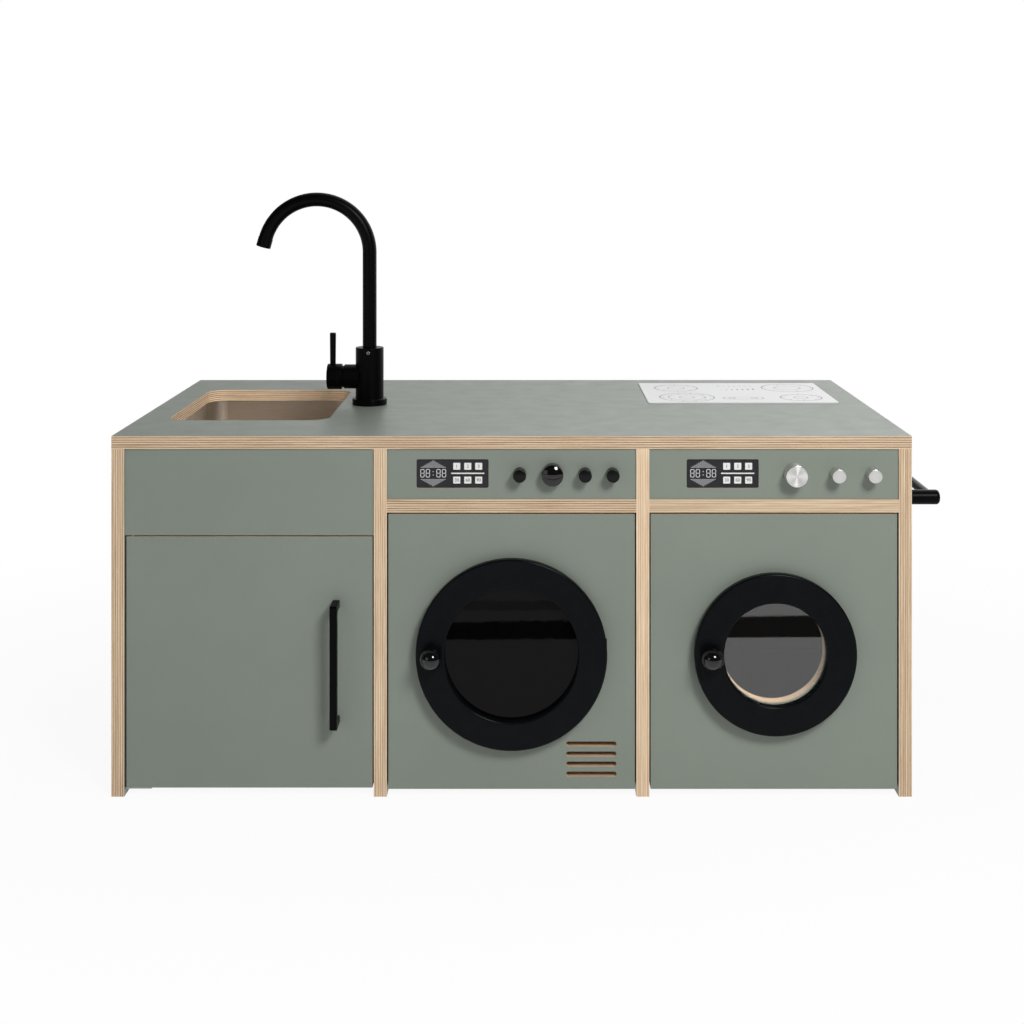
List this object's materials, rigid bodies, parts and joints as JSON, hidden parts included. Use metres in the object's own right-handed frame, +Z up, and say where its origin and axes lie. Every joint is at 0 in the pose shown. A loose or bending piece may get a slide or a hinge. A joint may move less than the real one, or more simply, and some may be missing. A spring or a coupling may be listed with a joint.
{
  "type": "play laundry kitchen",
  "caption": "Child's plywood play unit with a sink and gooseneck tap, a cupboard, a tumble dryer and a washing machine with round doors, dials, a hob plate and a towel rail.",
  "frame": {"origin": "on the floor, under the middle of the unit's outer box", "axes": "+X along the front to the viewer's right, +Y from the front to the back, +Z up"},
  "size_m": [1.17, 0.597, 0.834],
  "materials": {
    "laminated_ply": "sage green laminate on birch plywood, satin, with bare ply edges",
    "birch_ply": "bare birch plywood, oiled",
    "black_lacquer": "glossy black",
    "smoked_window": "opaque glossy black acrylic",
    "clear_window": "clear acrylic",
    "black_metal": "satin black",
    "black_knob": "satin black",
    "glossy_dial": "glossy black",
    "silver": "brushed",
    "steel": "brushed",
    "display_black": "glossy black with white printed signs",
    "hob_white": "white with grey printed rings",
    "gasket": "black rubber"
  },
  "bodies": {
    "cabinet": {"worktop": "laminated_ply", "left_side_panel": "laminated_ply", "left_divider": "laminated_ply", "right_divider": "laminated_ply", "right_side_panel": "laminated_ply", "back_panel": "birch_ply", "sink_base_panel": "birch_ply", "dryer_base_panel": "birch_ply", "washer_base_panel": "birch_ply", "sink_fascia": "laminated_ply", "dryer_fascia": "laminated_ply", "washer_fascia": "laminated_ply", "dryer_rail": "birch_ply", "washer_rail": "birch_ply", "dryer_front_panel": "laminated_ply", "washer_front_panel": "laminated_ply", "panel_cleats": "birch_ply", "sink_bowl": "steel", "sink_clips": "steel", "tap_gasket": "gasket", "tap_body": "black_metal", "tap_backnut": "steel", "hob_plate": "hob_white", "dryer_display": "display_black", "washer_display": "display_black", "knob_axles": "steel", "door_top_pivot": "steel", "door_bottom_pivot": "steel", "cabinet_catch": "black_knob", "catch_magnets": "steel", "hinge_fixed_leaves": "black_metal", "hinge_pins": "steel", "towel_rail_posts": "black_metal", "towel_rail_bar": "black_metal"},
    "tap_spout": {"tap_spout": "black_metal", "tap_aerator": "black_metal"},
    "tap_mixer": {"tap_mixer_cap": "black_metal", "tap_lever": "black_metal"},
    "dryer_power_knob": {"dryer_power_knob": "black_knob"},
    "dryer_program_dial": {"dryer_program_dial": "glossy_dial"},
    "dryer_heat_knob": {"dryer_heat_knob": "black_knob"},
    "dryer_time_knob": {"dryer_time_knob": "black_knob"},
    "washer_program_dial": {"washer_program_dial": "silver"},
    "washer_temperature_knob": {"washer_temperature_knob": "silver"},
    "washer_spin_knob": {"washer_spin_knob": "silver"},
    "cabinet_door": {"cabinet_door": "laminated_ply", "door_handle": "black_metal", "handle_screws": "steel", "cabinet_door_strike": "steel"},
    "dryer_door": {"dryer_door_ring": "black_lacquer", "dryer_door_window": "smoked_window", "dryer_door_knob": "black_lacquer", "dryer_door_strike": "steel", "dryer_hinge_leaf": "black_metal"},
    "washer_door": {"washer_door_ring": "black_lacquer", "washer_door_window": "clear_window", "washer_door_knob": "black_lacquer", "washer_door_strike": "steel", "washer_hinge_leaf": "black_metal"}
  },
  "joints": [
    {"name": "cabinet_door_hinge", "type": "hinge", "parent": "cabinet", "child": "cabinet_door", "pos_m": [-0.5565, -0.2435, 0.187], "axis": [0, 0, 1], "range_deg": [-105, 0]},
    {"name": "dryer_door_hinge", "type": "hinge", "parent": "cabinet", "child": "dryer_door", "pos_m": [0.1005, -0.2515, 0.201], "axis": [0, 0, 1], "range_deg": [0, 90]},
    {"name": "washer_door_hinge", "type": "hinge", "parent": "cabinet", "child": "washer_door", "pos_m": [0.4445, -0.2515, 0.201], "axis": [0, 0, 1], "range_deg": [0, 90]},
    {"name": "spout_swivel", "type": "hinge", "parent": "cabinet", "child": "tap_spout", "pos_m": [-0.2575, 0.0295, 0.59], "axis": [0, 0, 1], "continuous": true},
    {"name": "mixer_turn", "type": "hinge", "parent": "cabinet", "child": "tap_mixer", "pos_m": [-0.2575, 0.0295, 0.5438], "axis": [1, 0, 0], "range_deg": [0, 90]},
    {"name": "dryer_power_knob_turn", "type": "hinge", "parent": "cabinet", "child": "dryer_power_knob", "pos_m": [-0.0188, -0.2495, 0.4475], "axis": [0, -1, 0], "continuous": true},
    {"name": "dryer_program_dial_turn", "type": "hinge", "parent": "cabinet", "child": "dryer_program_dial", "pos_m": [0.0266, -0.2495, 0.4475], "axis": [0, -1, 0], "continuous": true},
    {"name": "dryer_heat_knob_turn", "type": "hinge", "parent": "cabinet", "child": "dryer_heat_knob", "pos_m": [0.0717, -0.2495, 0.4475], "axis": [0, -1, 0], "continuous": true},
    {"name": "dryer_time_knob_turn", "type": "hinge", "parent": "cabinet", "child": "dryer_time_knob", "pos_m": [0.11, -0.2495, 0.4475], "axis": [0, -1, 0], "continuous": true},
    {"name": "washer_program_dial_turn", "type": "hinge", "parent": "cabinet", "child": "washer_program_dial", "pos_m": [0.3628, -0.2495, 0.4475], "axis": [0, -1, 0], "continuous": true},
    {"name": "washer_temperature_knob_turn", "type": "hinge", "parent": "cabinet", "child": "washer_temperature_knob", "pos_m": [0.421, -0.2495, 0.4475], "axis": [0, -1, 0], "continuous": true},
    {"name": "washer_spin_knob_turn", "type": "hinge", "parent": "cabinet", "child": "washer_spin_knob", "pos_m": [0.4707, -0.2495, 0.4475], "axis": [0, -1, 0], "continuous": true}
  ]
}
